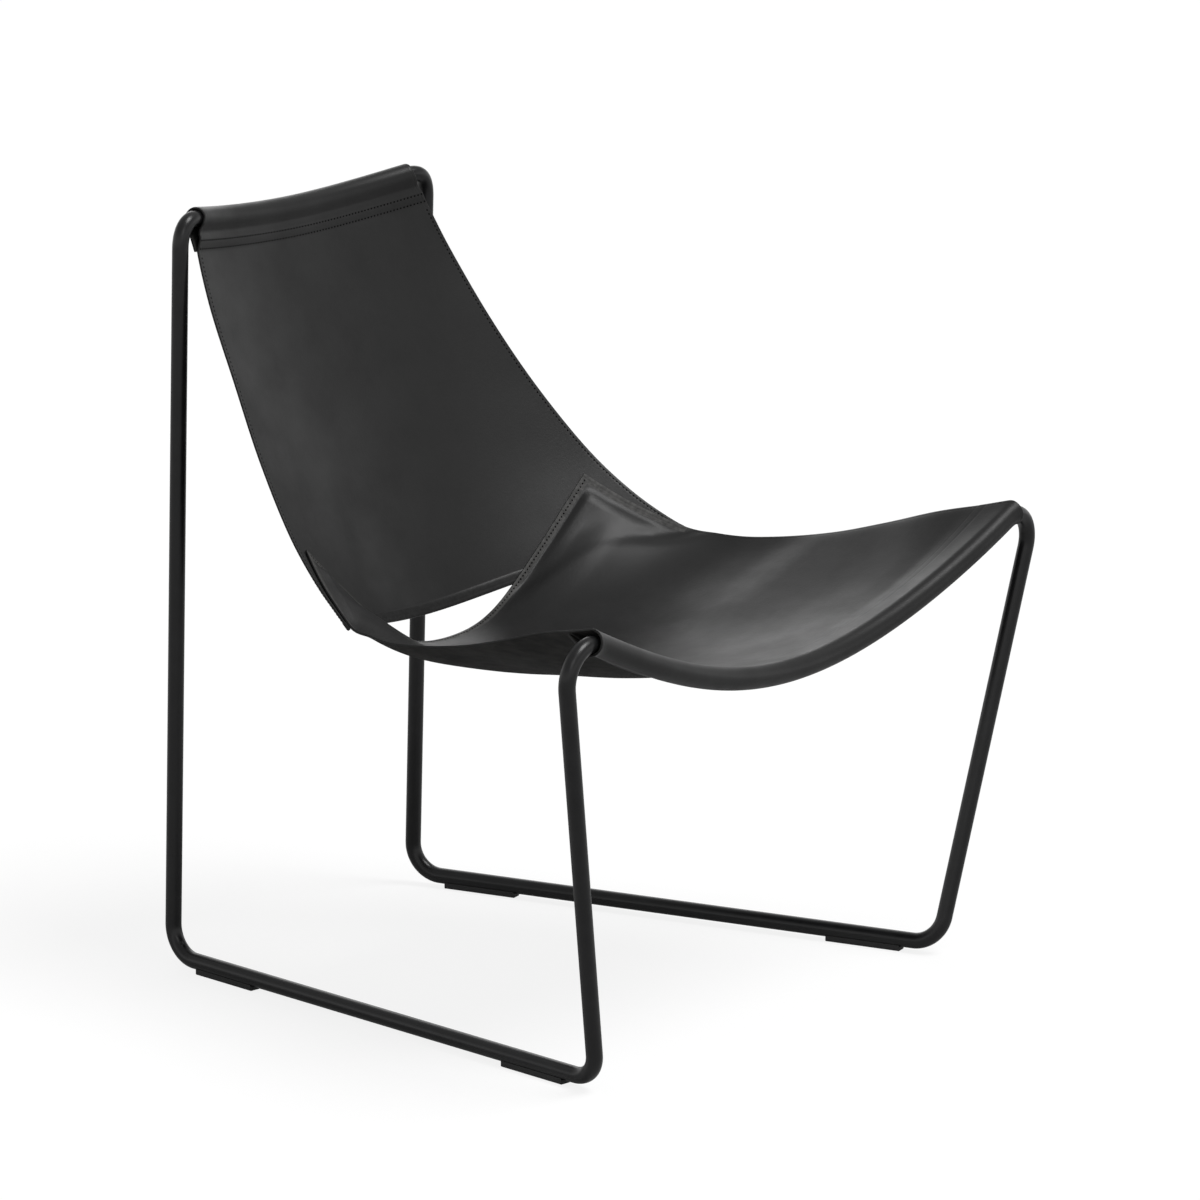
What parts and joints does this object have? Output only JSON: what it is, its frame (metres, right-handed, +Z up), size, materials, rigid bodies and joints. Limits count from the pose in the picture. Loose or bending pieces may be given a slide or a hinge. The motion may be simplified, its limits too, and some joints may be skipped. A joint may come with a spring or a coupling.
{
  "type": "leather sling lounge chair",
  "caption": "Low lounge chair with a leather back and a leather seat slung in a bent round steel tube frame on floor runners.",
  "frame": {"origin": "on the floor, in the middle of the chair's overall width and depth", "axes": "+Z up, the sitter faces -Y, +X is the sitter's left, so the chair's right half as seen from the front"},
  "size_m": [0.8764, 0.7346, 0.8541],
  "materials": {
    "frame_paint": "satin black powder coat",
    "leather": "smooth thick saddle leather, charcoal black, soft sheen",
    "glide_plastic": "matt black",
    "steel": "zinc plated screws"
  },
  "bodies": {
    "root": {"top_plug_left": "frame_paint", "top_grub_inner_left": "steel", "top_grub_outer_left": "steel", "top_bend_left": "frame_paint", "top_plug_right": "frame_paint", "top_grub_inner_right": "steel", "top_grub_outer_right": "steel", "top_bend_right": "frame_paint", "top_rail": "frame_paint", "front_plug_left": "frame_paint", "front_grub_inner_left": "steel", "front_grub_outer_left": "steel", "front_bend_left": "frame_paint", "front_plug_right": "frame_paint", "front_grub_inner_right": "steel", "front_grub_outer_right": "steel", "front_bend_right": "frame_paint", "front_rail": "frame_paint", "glide_screw_rear_rear_left": "steel", "glide_screw_rear_front_left": "steel", "glide_rear_left": "glide_plastic", "glide_screw_front_rear_left": "steel", "glide_screw_front_front_left": "steel", "glide_front_left": "glide_plastic", "runner_left": "frame_paint", "rear_foot_bend_left": "frame_paint", "front_foot_bend_left": "frame_paint", "rear_upright_left": "frame_paint", "front_leg_left": "frame_paint", "glide_screw_rear_rear_right": "steel", "glide_screw_rear_front_right": "steel", "glide_rear_right": "glide_plastic", "glide_screw_front_rear_right": "steel", "glide_screw_front_front_right": "steel", "glide_front_right": "glide_plastic", "runner_right": "frame_paint", "rear_foot_bend_right": "frame_paint", "front_foot_bend_right": "frame_paint", "rear_upright_right": "frame_paint", "front_leg_right": "frame_paint", "back_panel": "leather", "seat_panel": "leather"}
  },
  "joints": []
}
